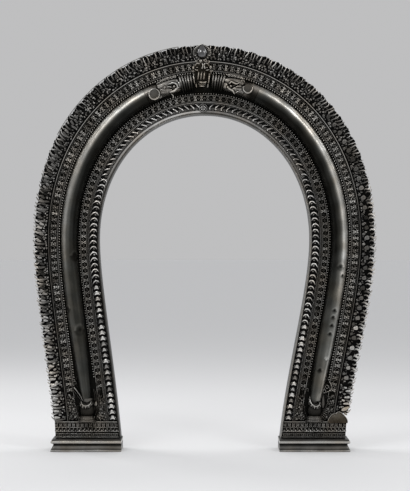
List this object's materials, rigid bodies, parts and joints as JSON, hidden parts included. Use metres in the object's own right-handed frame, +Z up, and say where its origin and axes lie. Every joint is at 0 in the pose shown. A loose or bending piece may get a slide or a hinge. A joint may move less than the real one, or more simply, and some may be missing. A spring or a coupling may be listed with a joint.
{
  "type": "deity aureole",
  "caption": "Horseshoe-shaped arch of chased silver sheet over a wooden core, on moulded plinths, with a flame border, a lion mask and paired makara heads; stands behind a shrine figure.",
  "frame": {"origin": "on the floor, at the bottom centre of the whole object's bounding box", "axes": "+Z up; the ornamented front faces -Y; +X is to the right of someone facing the front"},
  "size_m": [0.829, 0.068, 0.976],
  "materials": {
    "wood_core": "dry sawn hardwood, darkened with age",
    "silver_ground": "dark tarnished silver sheet with pierced and chased ground",
    "silver_plain": "smooth burnished silver sheet with grey tarnish",
    "silver_chased": "chased silver, dark in the hollows and rubbed bright on top",
    "silver_bright": "polished silver with light tarnish"
  },
  "bodies": {
    "root": {"core_crown": "wood_core", "core_haunch_right": "wood_core", "core_haunch_left": "wood_core", "core_leg_right": "wood_core", "core_leg_left": "wood_core", "core_tongue_lower_right": "wood_core", "core_tongue_lower_left": "wood_core", "core_tongue_upper_right": "wood_core", "core_tongue_upper_left": "wood_core", "tube_rod_right": "wood_core", "tube_rod_left": "wood_core", "plinth_core_right": "wood_core", "plinth_core_left": "wood_core", "face_sheet_right": "silver_ground", "face_sheet_left": "silver_ground", "foot_panel_right": "silver_ground", "foot_panel_left": "silver_ground", "lattice_band_right": "silver_ground", "lattice_band_left": "silver_ground", "vine_band_right": "silver_ground", "vine_band_left": "silver_ground", "inner_rim_right": "silver_plain", "inner_rim_left": "silver_plain", "outer_rim_right": "silver_plain", "outer_rim_left": "silver_plain", "tube_lower_right": "silver_plain", "tube_lower_left": "silver_plain", "tube_upper_right": "silver_plain", "tube_upper_left": "silver_plain", "plinth_casing_right": "silver_plain", "plinth_casing_left": "silver_plain", "inner_ridge_right": "silver_chased", "inner_ridge_left": "silver_chased", "inner_bead_row_right": "silver_chased", "inner_bead_row_left": "silver_chased", "outer_bead_row_right": "silver_chased", "outer_bead_row_left": "silver_chased", "outer_ridge_right": "silver_chased", "outer_ridge_left": "silver_chased", "flame_border_lower_right": "silver_chased", "flame_border_lower_left": "silver_chased", "flame_border_upper_right": "silver_chased", "flame_border_upper_left": "silver_chased", "vase_right": "silver_chased", "vase_left": "silver_chased", "scroll_inner_right": "silver_chased", "scroll_inner_left": "silver_chased", "scroll_outer_right": "silver_chased", "scroll_outer_left": "silver_chased", "makara_head_right": "silver_chased", "makara_head_left": "silver_chased", "neck_ruff_right": "silver_chased", "neck_ruff_left": "silver_chased", "lion_mask": "silver_chased", "crest_setting": "silver_chased", "leaf_band_right": "silver_bright", "leaf_band_left": "silver_bright", "crest_jewel": "silver_bright"}
  },
  "joints": []
}
